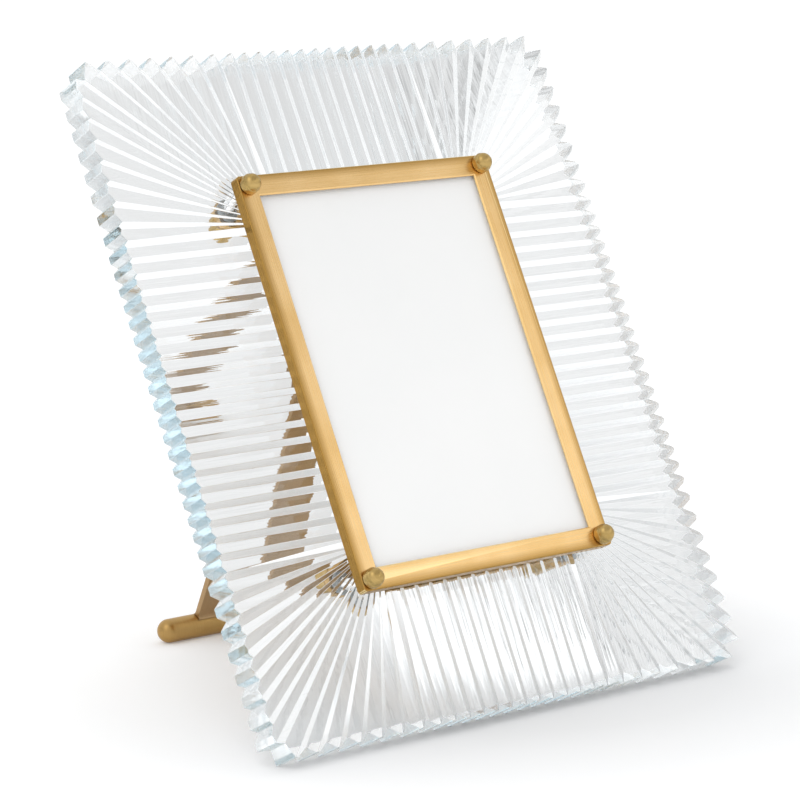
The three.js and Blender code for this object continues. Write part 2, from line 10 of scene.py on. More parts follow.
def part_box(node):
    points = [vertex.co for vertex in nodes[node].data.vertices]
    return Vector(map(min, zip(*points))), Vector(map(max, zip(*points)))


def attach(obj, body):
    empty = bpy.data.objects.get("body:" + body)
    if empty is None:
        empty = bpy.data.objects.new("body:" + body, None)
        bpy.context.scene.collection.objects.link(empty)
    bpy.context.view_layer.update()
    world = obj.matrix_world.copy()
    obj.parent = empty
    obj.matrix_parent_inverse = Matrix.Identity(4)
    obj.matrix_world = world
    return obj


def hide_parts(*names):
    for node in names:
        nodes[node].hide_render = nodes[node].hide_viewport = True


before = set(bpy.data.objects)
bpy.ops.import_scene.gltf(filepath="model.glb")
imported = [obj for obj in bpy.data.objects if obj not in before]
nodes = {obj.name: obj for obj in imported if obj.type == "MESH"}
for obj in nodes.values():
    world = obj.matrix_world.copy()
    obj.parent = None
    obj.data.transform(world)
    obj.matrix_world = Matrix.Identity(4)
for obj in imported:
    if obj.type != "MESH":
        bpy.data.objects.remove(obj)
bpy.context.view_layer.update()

MM = 0.001
CORNERS = {
    "top_left": (-1, 1),
    "top_right": (1, 1),
    "bottom_left": (-1, -1),
    "bottom_right": (1, -1),
}

# The way the plate stands
LEAN = math.radians(26.1)
PLATE_ACROSS = Vector((1, 0, 0))
PLATE_OUT = Vector((0, -math.cos(LEAN), math.sin(LEAN)))  # from the plate to the viewer
PLATE_UP = Vector((0, math.sin(LEAN), math.cos(LEAN)))
print_low, print_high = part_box("photo_print")
PRINT_MIDDLE = (print_low + print_high) / 2
PRINT_ABOVE_LAND = 2.3 * MM  # middle of the print in front of the glass's flat land

# The plate, the bezel and its bolts, in the plate's own directions
PLATE_W = 271 * MM
PLATE_H = 321.5 * MM
BEZEL_W = 145 * MM
BEZEL_H = 196.6 * MM
BAR_W = 10 * MM
BOLT_X = BEZEL_W / 2 - BAR_W / 2
BOLT_Y = BEZEL_H / 2 - BAR_W / 2
UNDER_BEZEL = 1 * MM  # how far the flutes' rounded edges reach in under the bezel

# Heights from the glass's flat land
KNOB_SEAT = 5.9  # mm, where the knobs lie on the bezel
SCREW_SEAT = -23.0 * MM  # where the screws' heads lie on the bracket
NUT_BACK = -27.1 * MM

# Rounded edges
GLASS_EDGE = 0.7 * MM
BEZEL_EDGE = 0.7 * MM
SHEET_EDGE = 0.35 * MM
SMALL_EDGE = 0.3 * MM

# The way the prop stands
pin_low, pin_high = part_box("hinge_pin")
bar_low, bar_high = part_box("foot_bar")
PIN_MIDDLE = (pin_low + pin_high) / 2
BAR_MIDDLE = (bar_low + bar_high) / 2
PROP_UP = (PIN_MIDDLE - BAR_MIDDLE).normalized()
PROP_TURN = math.atan2(PROP_UP.z, PROP_UP.y)
BAR_R = (bar_high.z - bar_low.z) / 2
BAR_LENGTH = bar_high.x - bar_low.x

# Camera, by the photograph
CAMERA_FROM_PRINT = Vector((-0.88945, -1.10856, 0.20747))
CAMERA_AZIMUTH = math.radians(-38.297)
CAMERA_ELEVATION = math.radians(8.917)
CAMERA_ROLL = math.radians(-1.451)
CAMERA_LENS = 141.79  # on a 36 mm sensor

# Colours of the brass
BEZEL_BRASS = (0.94, 0.655, 0.325)
BEZEL_BRASS_DEEP = (0.77, 0.49, 0.185)
# Painted shade: the bezel's colour darkens to this towards its outline
PAINTED_SHADE_ON_BEZEL_OUTLINE = (0.42, 0.235, 0.055)
# The strap's and bar's tones are darkened in part as painted shade, for the frame's shadow
# over the prop
STRAP_TONE_IN_SHADE = (0.47, 0.315, 0.165)
STRAP_DEEP_IN_SHADE = (0.33, 0.215, 0.11)
BAR_TONE_IN_SHADE = (0.54, 0.345, 0.13)
BAR_DEEP_IN_SHADE = (0.42, 0.26, 0.09)
KNOB_BRASS = (0.60, 0.42, 0.165)
KNOB_BRASS_DEEP = (0.42, 0.28, 0.09)
OUTLINE_SHADE_REACH = (-4.5 * MM, 0.0)  # from the bezel's outline, where painted shade deepens its colour
BRUSH_DEPTH = 0.004 * MM
BRUSH_SHARE = 0.45  # of the brush marks in the colour, beside the clouds
CLOUD_SHARE = 0.55
RUBBED_AND_HIGHLIT_EDGE = (0.53, 0.6)  # pointiness, from untouched to rubbed bare and lit as a painted highlight
RUBBED_AND_HIGHLIT_LIGHTER = 1.18

# Glass
CLEAR_TINTS = ((0.985, 0.99, 0.99), (1, 1, 1))
CRYSTAL_BODY = (0.55, 0.8, 0.9)  # what its thickness leaves of white light
CRYSTAL_DENSITY = 2.4
DRAWN_DEPTH = 0.14 * MM  # of the marks along the ribs
RIM_FROST = 0.17
FROST_REACH = (-9 * MM, -6 * MM)  # from the plate's outline, none to full
# Painted glow: the glass emits, in place of light that stays in it longer than a render
# follows it
TRAPPED_DEPTH = 11
TRAPPED_LIGHT = (0.72, 0.86, 0.93)
TRAPPED_STRENGTH = 0.75

# Brightness of the room: by the direction's x behind the frame, by its z in front
BACK_WALL = (
    (-1, 0.75),
    (-0.5, 0.95),
    (0.42, 1.0),
    (0.57, 0.85),
    (0.72, 0.86),
    (0.93, 0.77),
    (1, 0.6),
)
FRONT_ROOM = ((0, 0.8), (0.3, 0.92), (0.42, 1.35), (0.5, 1.35), (0.59, 0.55), (1, 0.75))
WALL_TO_FRONT = (0.2, -0.2)  # the direction's y, from the one to the other
DIM_END = (0.95, 0.99, 1.0, 0.5)  # the room's far right: the direction's x, then shares

# A bright window high on the left: its direction, the cosines at its edge, its light
WINDOW = (-0.60, -0.22, 0.77)
WINDOW_EDGE = (0.93, 0.985)
WINDOW_LIGHT = 1.3

# Lamps: place and watts
KEY_LAMP = ((-1.3, -1.3, 2.0), 9)
RIM_LAMP = ((1.5, 0.9, 1.6), 2)
LAMP_SIZE = 1.2
LAMP_AIM = (0, 0, 0.12)

# The white sweep glows a little more away from the frame, which paints a shadow around it:
# distances, then levels
FLOOR_SIZE = 30
FLOOR_GLOW = (0.1, 0.28, 0.06, 0.28)
SHADE_MIDDLE = (0.05, -0.06, 0)
# Beside the sweep the floor is grey: slopes of the lines from the camera to both sides
SWEEP_LEFT = (0.0, 0.55)
SWEEP_RIGHT = (2.6, 1.1)
SWEEP_FRONT = (0.6, 0.2)  # the floor's y, where it turns white again in front
SWEEP_WHITE = (0.835, 0.842, 0.85)
BESIDE_SWEEP = (0.42, 0.42, 0.42)

# How far a render follows the light
LONGEST_PATH = 14
GLASS_BOUNCES = 12


# Nodes of the materials

def node_tree(name):
    """A new material with only a Principled shader and its output."""
    material = bpy.data.materials.new(name)
    material.use_nodes = True
    tree = material.node_tree
    return material, tree, tree.nodes["Principled BSDF"]


def add_node(tree, kind, **values):
    node = tree.nodes.new(kind)
    for key, value in values.items():
        setattr(node, key, value)
    return node


def arithmetic(tree, operation, *values):
    node = add_node(tree, "ShaderNodeMath", operation=operation)
    for socket, value in zip(node.inputs, values):
        if isinstance(value, (int, float)):
            socket.default_value = value
        else:
            tree.links.new(value, socket)
    return node.outputs[0]


def directions(tree, middle, turn):
    """Object coordinates from a point, with x across, y up the sheet and z out of it."""
    coordinates = add_node(tree, "ShaderNodeTexCoord")
    mapping = add_node(tree, "ShaderNodeMapping", vector_type="TEXTURE")
    mapping.inputs["Location"].default_value = middle
    mapping.inputs["Rotation"].default_value = (turn, 0, 0)
    tree.links.new(coordinates.outputs["Object"], mapping.inputs["Vector"])
    return mapping.outputs[0]


def plate_directions(tree):
    return directions(tree, PRINT_MIDDLE, math.pi / 2 - LEAN)


def prop_directions(tree):
    return directions(tree, BAR_MIDDLE, PROP_TURN)


def grain(tree, vector, scale, detail=3.0, roughness=0.55):
    """Noise with its own scale on each axis, in grains per metre."""
    mapping = add_node(tree, "ShaderNodeMapping")
    mapping.inputs["Scale"].default_value = scale
    tree.links.new(vector, mapping.inputs["Vector"])
    noise = add_node(tree, "ShaderNodeTexNoise")
    noise.inputs["Scale"].default_value = 1.0
    noise.inputs["Detail"].default_value = detail
    noise.inputs["Roughness"].default_value = roughness
    tree.links.new(mapping.outputs[0], noise.inputs["Vector"])
    return noise.outputs["Fac"]


def spread(tree, value, from_low, from_high, low, high):
    node = add_node(tree, "ShaderNodeMapRange")
    tree.links.new(value, node.inputs["Value"])
    node.inputs["From Min"].default_value = from_low
    node.inputs["From Max"].default_value = from_high
    node.inputs["To Min"].default_value = low
    node.inputs["To Max"].default_value = high
    return node.outputs["Result"]


def two_tone(tree, value, dark, light):
    ramp = add_node(tree, "ShaderNodeValToRGB")
    ramp.color_ramp.elements[0].position = 0.3
    ramp.color_ramp.elements[1].position = 0.7
    ramp.color_ramp.elements[0].color = (*dark, 1)
    ramp.color_ramp.elements[1].color = (*light, 1)
    tree.links.new(value, ramp.inputs["Fac"])
    return ramp.outputs["Color"]


def blended(tree, share, first, second):
    mix = add_node(tree, "ShaderNodeMix", data_type="RGBA")
    tree.links.new(share, mix.inputs["Factor"])
    for socket, value in ((mix.inputs[6], first), (mix.inputs[7], second)):
        if isinstance(value, tuple):
            socket.default_value = (*value, 1)
        else:
            tree.links.new(value, socket)
    return mix.outputs[2]


def relief(tree, shader, height, depth):
    bump = add_node(tree, "ShaderNodeBump")
    bump.inputs["Strength"].default_value = 1.0
    bump.inputs["Distance"].default_value = depth
    tree.links.new(height, bump.inputs["Height"])
    tree.links.new(bump.outputs[0], shader.inputs["Normal"])


def worn_and_highlit_edge(tree):
    """Rises to 1 on the sharp outer edges that hands and cloths rub, which are also lightened
    as a painted highlight.
    """
    surface = add_node(tree, "ShaderNodeNewGeometry")
    return spread(tree, surface.outputs["Pointiness"], *RUBBED_AND_HIGHLIT_EDGE, 0.0, 1.0)


def beyond(tree, vector, width, height):
    """How far a point lies outside a rectangle's sides, and outside its ends."""
    split = add_node(tree, "ShaderNodeSeparateXYZ")
    tree.links.new(vector, split.inputs[0])
    from_side = arithmetic(tree, "ABSOLUTE", split.outputs["X"])
    from_end = arithmetic(tree, "ABSOLUTE", split.outputs["Y"])
    beyond_x = arithmetic(tree, "SUBTRACT", from_side, width / 2)
    beyond_y = arithmetic(tree, "SUBTRACT", from_end, height / 2)
    return beyond_x, beyond_y


def by_side(tree, vector, on_sides, on_ends):
    """One value at the left and right of the bezel's outline, the other above and below."""
    beyond_x, beyond_y = beyond(tree, vector, BEZEL_W, BEZEL_H)
    upright = arithmetic(tree, "GREATER_THAN", beyond_x, beyond_y)
    difference = arithmetic(tree, "SUBTRACT", on_sides, on_ends)
    return arithmetic(tree, "MULTIPLY_ADD", difference, upright, on_ends)


# Glass

def cast_crystal():
    """Clear glass, pale blue in its depth and slightly frosted on the toothed rim."""
    material, tree, shader = node_tree("cast_crystal")
    shader.inputs["IOR"].default_value = 1.5
    shader.inputs["Transmission Weight"].default_value = 1.0
    vector = plate_directions(tree)
    tint = grain(tree, vector, (9, 9, 9), 2.0)
    tree.links.new(two_tone(tree, tint, *CLEAR_TINTS), shader.inputs["Base Color"])
    haze = spread(tree, grain(tree, vector, (140, 140, 140), 4.0), 0.55, 0.8, 0.0, 0.03)
    outermost = arithmetic(tree, "MAXIMUM", *beyond(tree, vector, PLATE_W, PLATE_H))
    frost = spread(tree, outermost, *FROST_REACH, 0.0, RIM_FROST)
    tree.links.new(arithmetic(tree, "ADD", haze, frost), shader.inputs["Roughness"])
    # Drawn marks along the ribs, level at the sides and upright above and below
    level = grain(tree, vector, (16, 300, 60), 2.0)
    upright = grain(tree, vector, (300, 16, 60), 2.0)
    relief(tree, shader, by_side(tree, vector, level, upright), DRAWN_DEPTH)
    # Painted glow: the glass emits where paths reach the trapped depth
    path = add_node(tree, "ShaderNodeLightPath")
    trapped = arithmetic(tree, "COMPARE", path.outputs["Ray Depth"], TRAPPED_DEPTH, 0.5)
    shader.inputs["Emission Color"].default_value = (*TRAPPED_LIGHT, 1)
    glow = arithmetic(tree, "MULTIPLY", trapped, TRAPPED_STRENGTH)
    tree.links.new(glow, shader.inputs["Emission Strength"])
    body = add_node(tree, "ShaderNodeVolumeAbsorption")
    body.inputs["Color"].default_value = (*CRYSTAL_BODY, 1)
    body.inputs["Density"].default_value = CRYSTAL_DENSITY
    tree.links.new(body.outputs[0], tree.nodes["Material Output"].inputs["Volume"])
    return material


def clear_glazing():
    """The front pane, which lets the room's light through to the card."""
    material, tree, shader = node_tree("clear_glazing")
    shader.inputs["IOR"].default_value = 1.45
    shader.inputs["Transmission Weight"].default_value = 1.0
    vector = plate_directions(tree)
    tint = grain(tree, vector, (14, 14, 14), 2.0)
    tree.links.new(two_tone(tree, tint, *CLEAR_TINTS), shader.inputs["Base Color"])
    wipe = grain(tree, vector, (60, 400, 60), 3.0)
    tree.links.new(spread(tree, wipe, 0.6, 0.8, 0.0, 0.02), shader.inputs["Roughness"])
    path = add_node(tree, "ShaderNodeLightPath")
    shadow, bounced = path.outputs["Is Shadow Ray"], path.outputs["Is Diffuse Ray"]
    let_through = arithmetic(tree, "MAXIMUM", shadow, bounced)
    tree.links.new(arithmetic(tree, "SUBTRACT", 1.0, let_through), shader.inputs["Alpha"])
    return material


# Brass

def brass_finish(name, shades, brushed, cloudy, smoothness, depth=BRUSH_DEPTH, edge=None):
    """Brushed brass: brushed and cloudy give the marks, smoothness the two roughnesses."""
    material, tree, shader = node_tree(name)
    shader.inputs["Metallic"].default_value = 1.0
    marks = brushed(tree)
    clouds = cloudy(tree)
    fine = arithmetic(tree, "MULTIPLY", marks, BRUSH_SHARE)
    both = arithmetic(tree, "MULTIPLY_ADD", clouds, CLOUD_SHARE, fine)
    deep, light = shades
    colour = two_tone(tree, both, deep, light)
    # Painted shade: the given edge colour is blended in towards the bezel's outline
    if edge:
        colour = blended(tree, outline_painted_shade(tree), colour, edge)
    # Paler sharp edges: rubbed wear and a painted highlight
    pale = tuple(min(1.0, channel * RUBBED_AND_HIGHLIT_LIGHTER) for channel in light)
    tree.links.new(blended(tree, worn_and_highlit_edge(tree), colour, pale), shader.inputs["Base Color"])
    tree.links.new(spread(tree, marks, 0.3, 0.7, *smoothness), shader.inputs["Roughness"])
    relief(tree, shader, marks, depth)
    return material


def outline_painted_shade(tree):
    """Rises towards the bezel's outline, where painted shade darkens the colour."""
    vector = plate_directions(tree)
    outermost = arithmetic(tree, "MAXIMUM", *beyond(tree, vector, BEZEL_W, BEZEL_H))
    return spread(tree, outermost, *OUTLINE_SHADE_REACH, 0.0, 1.0)


def marks_along_bars(tree):
    """Fine brush marks that run along each bar of the bezel."""
    vector = plate_directions(tree)
    up = grain(tree, vector, (3800, 45, 3800), 4.0)
    level = grain(tree, vector, (45, 3800, 3800), 4.0)
    return by_side(tree, vector, up, level)


def bezel_clouds(tree):
    return grain(tree, plate_directions(tree), (38, 38, 38), 3.0)


def marks_along_prop(tree):
    return grain(tree, prop_directions(tree), (3200, 40, 3200), 4.0)


def marks_round_bar(tree):
    return grain(tree, prop_directions(tree), (3600, 90, 90), 4.0)


def prop_clouds(tree):
    return grain(tree, prop_directions(tree), (42, 42, 42), 3.0)


def marks_on_sheet(tree):
    return grain(tree, plate_directions(tree), (2600, 30, 2600), 4.0)


def turning_marks(tree):
    """Fine rings across the axis of the knobs, nuts and screws."""
    return grain(tree, plate_directions(tree), (120, 120, 5200), 3.0)


def knob_clouds(tree):
    return grain(tree, plate_directions(tree), (260, 260, 260), 3.0)


# Paper, board and silicone

def white_card():
    material, tree, shader = node_tree("white_card")
    vector = plate_directions(tree)
    fibres = grain(tree, vector, (900, 1500, 900), 5.0)
    colour = two_tone(tree, fibres, (0.90, 0.90, 0.895), (0.925, 0.925, 0.92))
    tree.links.new(colour, shader.inputs["Base Color"])
    tree.links.new(spread(tree, fibres, 0.3, 0.7, 0.5, 0.62), shader.inputs["Roughness"])
    relief(tree, shader, fibres, 0.01 * MM)
    return material


def fibre_board():
    material, tree, shader = node_tree("fibre_board")
    vector = plate_directions(tree)
    fibres = grain(tree, vector, (500, 1600, 500), 6.0, 0.7)
    colour = two_tone(tree, fibres, (0.20, 0.15, 0.10), (0.34, 0.27, 0.19))
    tree.links.new(colour, shader.inputs["Base Color"])
    tree.links.new(spread(tree, fibres, 0.2, 0.8, 0.78, 0.95), shader.inputs["Roughness"])
    relief(tree, shader, fibres, 0.05 * MM)
    return material


def milky_silicone():
    material, tree, shader = node_tree("milky_silicone")
    shader.inputs["IOR"].default_value = 1.41
    shader.inputs["Transmission Weight"].default_value = 0.35
    vector = plate_directions(tree)
    cloud = grain(tree, vector, (420, 420, 420), 3.0)
    colour = two_tone(tree, cloud, (0.62, 0.66, 0.68), (0.78, 0.81, 0.82))
    tree.links.new(colour, shader.inputs["Base Color"])
    tree.links.new(spread(tree, cloud, 0.3, 0.7, 0.42, 0.58), shader.inputs["Roughness"])
    relief(tree, shader, cloud, 0.02 * MM)
    return material


crystal = cast_crystal()
glazing = clear_glazing()
bezel_brass = brass_finish(
    "bezel_brass",
    (BEZEL_BRASS_DEEP, BEZEL_BRASS),
    marks_along_bars,
    bezel_clouds,
    (0.22, 0.36),
    edge=PAINTED_SHADE_ON_BEZEL_OUTLINE,
)
# Painted shade, in part: the strap and the bar get darker copies of the brass
shaded_strap_finish = brass_finish(
    "shaded_strap_finish",
    (STRAP_DEEP_IN_SHADE, STRAP_TONE_IN_SHADE),
    marks_along_prop,
    prop_clouds,
    (0.3, 0.44),
)
shaded_bar_finish = brass_finish(
    "shaded_bar_finish",
    (BAR_DEEP_IN_SHADE, BAR_TONE_IN_SHADE),
    marks_round_bar,
    prop_clouds,
    (0.3, 0.44),
)
# The back sheets take the strap's and bar's tones, darkened in part as painted shade
sheet_brass = brass_finish(
    "sheet_brass",
    (STRAP_TONE_IN_SHADE, BAR_TONE_IN_SHADE),
    marks_on_sheet,
    bezel_clouds,
    (0.34, 0.48),
)
knob_brass = brass_finish(
    "knob_brass",
    (KNOB_BRASS_DEEP, KNOB_BRASS),
    turning_marks,
    knob_clouds,
    (0.28, 0.4),
    depth=0.003 * MM,
)
card = white_card()
board = fibre_board()
silicone = milky_silicone()

finishes = {
    "glass_plate": crystal,
    "front_bezel": bezel_brass,
    "glazing_pane": glazing,
    "photo_print": card,
    "backing_board": board,
    "back_plate": sheet_brass,
    "hinge_bracket": sheet_brass,
    "hinge_pin": knob_brass,
    "prop_strap": shaded_strap_finish,
    "foot_bar": shaded_bar_finish,
}
for name, node in nodes.items():
    node.data.materials.clear()
    if name.startswith("soft_washer"):
        node.data.materials.append(silicone)
    else:
        node.data.materials.append(finishes.get(name, knob_brass))


# Tools of the workbench

def let_go():
    """Leaves edit mode and selects nothing."""
    if bpy.context.object and bpy.context.object.mode != "OBJECT":
        bpy.ops.object.mode_set(mode="OBJECT")
    bpy.ops.object.select_all(action="DESELECT")


def take(piece):
    let_go()
    piece.select_set(True)
    bpy.context.view_layer.objects.active = piece


def pick(piece, kind, chosen):
    """In edit mode, selects only the faces, edges or points that chosen says yes to."""
    bpy.ops.mesh.select_mode(type=kind)
    bpy.ops.mesh.select_all(action="DESELECT")
    mesh = bmesh.from_edit_mesh(piece.data)
    for part in {"FACE": mesh.faces, "EDGE": mesh.edges, "VERT": mesh.verts}[kind]:
        part.select_set(chosen(part))
    bmesh.update_edit_mesh(piece.data)


def modify(piece, name, kind, **values):
    take(piece)
    added = piece.modifiers.new(name, kind)
    for key, value in values.items():
        setattr(added, key, value)
    bpy.ops.object.modifier_apply(modifier=name)


def smooth(piece, degrees=35):
    """Rounds the shading of narrow faces and keeps the wide ones flat."""
    take(piece)
    bpy.ops.object.shade_smooth_by_angle(angle=math.radians(degrees))
    modify(piece, "flat_faces", "WEIGHTED_NORMAL", weight=100, keep_sharp=True)


def merged_copy(node_name, piece_name):
    """A copy of a CAD solid with its doubles merged and its flat faces made whole."""
    piece = nodes[node_name].copy()
    piece.data = nodes[node_name].data.copy()
    piece.name = piece_name
    bpy.context.scene.collection.objects.link(piece)
    take(piece)
    if piece.data.has_custom_normals:
        bpy.ops.mesh.customdata_custom_splitnormals_clear()
    bpy.ops.object.mode_set(mode="EDIT")
    bpy.ops.mesh.select_all(action="SELECT")
    bpy.ops.mesh.remove_doubles(threshold=0.002 * MM)
    bpy.ops.mesh.dissolve_limited(angle_limit=math.radians(0.4))
    let_go()
    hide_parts(node_name)
    return piece


def rounded_copy(node_name, piece_name, body, width, segments=2):
    piece = merged_copy(node_name, piece_name)
    modify(
        piece,
        "broken_edges",
        "BEVEL",
        width=width,
        segments=segments,
        limit_method="ANGLE",
        angle_limit=math.radians(28),
    )
    smooth(piece)
    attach(piece, body)
    return piece


def turned(name, rings, sides, material):
    """A round piece along z: a short cylinder whose top is drawn on from ring to ring.

    Each ring is a radius and a height in millimetres.
    """
    let_go()
    (radius, low), (_, high) = rings[:2]
    bpy.ops.mesh.primitive_cylinder_add(
        vertices=sides,
        radius=radius * MM,
        depth=(high - low) * MM,
        location=(0, 0, (low + high) / 2 * MM),
    )
    piece = bpy.context.object
    piece.name = name
    bpy.ops.object.transform_apply(location=True, rotation=True, scale=True)
    bpy.ops.object.mode_set(mode="EDIT")
    pick(piece, "FACE", lambda face: face.normal.z > 0.9)
    height = high
    for next_radius, next_height in rings[2:]:
        bpy.ops.mesh.extrude_region_move(
            TRANSFORM_OT_translate={"value": (0, 0, (next_height - height) * MM)}
        )
        ratio = next_radius / radius
        bpy.ops.transform.resize(
            value=(ratio, ratio, 1), center_override=(0, 0, next_height * MM)
        )
        radius, height = next_radius, next_height
    let_go()
    piece.data.materials.append(material)
    smooth(piece, 32)
    return piece


def plate_place(x, y, z=0.0, turned_round=False):
    """Where a piece made along z goes on the plate, z from the flat land."""
    out = PLATE_OUT * (z - PRINT_ABOVE_LAND)
    origin = PRINT_MIDDLE + PLATE_ACROSS * x + PLATE_UP * y + out
    axes = Matrix((PLATE_ACROSS, PLATE_UP, PLATE_OUT)).transposed().to_4x4()
    place = Matrix.Translation(origin) @ axes
    return place @ Matrix.Rotation(math.pi, 4, "X") if turned_round else place


def bolt_places(z=0.0):
    return {
        corner: plate_place(x * BOLT_X, y * BOLT_Y, z) for corner, (x, y) in CORNERS.items()
    }


def set_in_place(pattern, places, prefix):
    """A copy with its own mesh for each CAD node that the pattern replaces."""
    for suffix, place in places.items():
        piece = pattern.copy()
        piece.data = pattern.data.copy()
        piece.name = f"{prefix}_{suffix}_turned"
        bpy.context.scene.collection.objects.link(piece)
        piece.data.transform(place)
        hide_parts(f"{prefix}_{suffix}")
        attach(piece, "root")
    bpy.data.objects.remove(pattern)


def on_plate(point):
    """A point's x across and y up the plate, from the middle of the print."""
    away = point - PRINT_MIDDLE
    return away.dot(PLATE_ACROSS), away.dot(PLATE_UP)


# Pieces

def fluted_glass():
    """The cast plate: its crests, valleys and teeth lose their sharp edges."""
    piece = merged_copy("glass_plate", "fluted_glass")
    take(piece)
    bpy.ops.object.mode_set(mode="EDIT")
    reach_x = BEZEL_W / 2 - UNDER_BEZEL
    reach_y = BEZEL_H / 2 - UNDER_BEZEL
    for normal, reach in ((PLATE_ACROSS, reach_x), (PLATE_UP, reach_y)):
        for side in (-1, 1):
            bpy.ops.mesh.select_all(action="SELECT")
            bpy.ops.mesh.bisect(plane_co=PRINT_MIDDLE + normal * reach * side, plane_no=normal)
    slack = 0.05 * MM

    def sharp_and_open(edge):
        if len(edge.link_faces) != 2 or edge.calc_face_angle(0) < math.radians(12):
            return False
        places = [on_plate(vertex.co) for vertex in edge.verts]
        return all(abs(x) > reach_x - slack or abs(y) > reach_y - slack for x, y in places)

    pick(piece, "EDGE", sharp_and_open)
    bpy.ops.mesh.bevel(offset=GLASS_EDGE, segments=3, affect="EDGES", clamp_overlap=True)
    let_go()
    smooth(piece, 30)
    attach(piece, "root")


def corner_knobs():
    """Domed knobs in one piece with their bolts."""
    seat = KNOB_SEAT
    dome, dome_radius, dome_height = seat + 3.35, 4.22, 3.6
    rings = [(1.6, -25.2), (1.6, -25.15), (2.0, -24.8), (2.0, seat), (4.25, seat)]
    rings += [(4.6, seat + 0.35), (4.6, seat + 2.9), (4.5, seat + 3.1), (4.3, seat + 3.2)]
    rings.append((dome_radius, dome))
    steps = 9
    for step in range(1, steps):
        angle = math.pi / 2 * step / steps
        rings.append((dome_radius * math.cos(angle), dome + dome_height * math.sin(angle)))
    rings.append((0.05, dome + dome_height))
    pattern = turned("knob_bolt", rings, 56, knob_brass)
    set_in_place(pattern, bolt_places(), "knob_bolt")


def thumb_nuts():
    """Knurled nuts, closed at the back and bored for the bolt."""
    rings = [(4.6, 0), (4.6, 0.1), (5.0, 0.35), (5.35, 0.9), (5.35, 5.2), (5.0, 5.7)]
    rings += [(4.4, 6.0), (2.35, 6.0), (2.35, 1.7)]
    teeth = 72
    pattern = turned("thumb_nut", rings, teeth, knob_brass)
    take(pattern)
    bpy.ops.object.mode_set(mode="EDIT")

    def on_a_ridge(point):
        tooth = round(math.atan2(point.co.y, point.co.x) / (2 * math.pi) * teeth)
        return point.co.to_2d().length > 5.3 * MM and tooth % 2 == 0

    pick(pattern, "VERT", on_a_ridge)
    bpy.ops.transform.resize(value=(1.028, 1.028, 1), center_override=(0, 0, 0))
    let_go()
    set_in_place(pattern, bolt_places(NUT_BACK), "thumb_nut")


def soft_washers():
    for corner in CORNERS:
        node_name = f"soft_washer_{corner}"
        rounded_copy(node_name, f"silicone_ring_{corner}", "root", SMALL_EDGE, 3)


def hinge_screws():
    """Pan head screws with a cross recess."""
    rings = [(1.5, -4.5), (1.5, 0), (2.65, 0), (2.8, 0.15), (2.8, 0.35), (2.6, 0.8)]
    rings += [(2.1, 1.18), (1.4, 1.38), (0.6, 1.48), (0.05, 1.5)]
    pattern = turned("hinge_screw", rings, 40, knob_brass)
    for turn in (0, math.pi / 2):
        let_go()
        bpy.ops.mesh.primitive_cube_add(
            size=1, location=(0, 0, 1.35 * MM), rotation=(0, 0, turn)
        )
        recess = bpy.context.object
        recess.scale = (2.6 * MM, 0.55 * MM, 1.3 * MM)
        bpy.ops.object.transform_apply(location=True, rotation=True, scale=True)
        cut = {"operation": "DIFFERENCE", "object": recess, "solver": "EXACT"}
        modify(pattern, "cross", "BOOLEAN", **cut)
        bpy.data.objects.remove(recess)
    smooth(pattern, 32)
    places = {}
    for letter in "abcd":
        low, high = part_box(f"hinge_screw_{letter}")
        x, y = on_plate((low + high) / 2)
        places[letter] = plate_place(x, y, SCREW_SEAT, turned_round=True)
    set_in_place(pattern, places, "hinge_screw")


def hinge_pin():
    """The pin with its two rounded heads, made along z and laid across."""
    rings = [(2.2, -12.8), (2.2, -12.75), (2.8, -12.55), (3.2, -12.0), (3.2, -11.4)]
    rings += [(2.0, -11.4), (2.0, 11.4), (3.2, 11.4), (3.2, 12.0), (2.8, 12.55)]
    rings += [(2.2, 12.8), (0.05, 12.8)]
    pin = turned("hinge_pin_turned", rings, 48, knob_brass)
    pin.data.transform(Matrix.Translation(PIN_MIDDLE) @ Matrix.Rotation(math.pi / 2, 4, "Y"))
    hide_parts("hinge_pin")
    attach(pin, "root")


def foot_bar():
    """Round bar with domed ends: a ball pulled apart along x."""
    let_go()
    bpy.ops.mesh.primitive_uv_sphere_add(
        segments=64, ring_count=32, radius=BAR_R, rotation=(0, math.pi / 2, 0)
    )
    bar = bpy.context.object
    bar.name = "foot_bar_domed"
    bpy.ops.object.transform_apply(location=True, rotation=True, scale=True)
    bpy.ops.object.mode_set(mode="EDIT")
    near_middle = 0.001 * MM
    pick(bar, "EDGE", lambda edge: all(abs(end.co.x) < near_middle for end in edge.verts))
    bpy.ops.mesh.edge_split(type="EDGE")
    pick(bar, "FACE", lambda face: face.calc_center_median().x > 0)
    pull = BAR_LENGTH / 2 - BAR_R
    bpy.ops.transform.translate(value=(pull, 0, 0))
    bpy.ops.mesh.select_all(action="INVERT")
    bpy.ops.transform.translate(value=(-pull, 0, 0))
    pick(bar, "EDGE", lambda edge: edge.is_boundary)
    bpy.ops.mesh.bridge_edge_loops()
    bpy.ops.mesh.select_all(action="SELECT")
    bpy.ops.mesh.normals_make_consistent(inside=False)
    let_go()
    bar.data.materials.append(shaded_bar_finish)
    bar.data.transform(Matrix.Translation(BAR_MIDDLE))
    smooth(bar, 40)
    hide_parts("foot_bar")
    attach(bar, "prop")


def brass_sheets():
    rounded_copy("front_bezel", "brushed_bezel", "root", BEZEL_EDGE, 4)
    rounded_copy("back_plate", "pressed_back", "root", SHEET_EDGE)
    rounded_copy("hinge_bracket", "lugged_bracket", "root", SMALL_EDGE)
    rounded_copy("prop_strap", "tapered_strap", "prop", SHEET_EDGE)


fluted_glass()
brass_sheets()
corner_knobs()
thumb_nuts()
soft_washers()
hinge_screws()
hinge_pin()
foot_bar()


# Studio

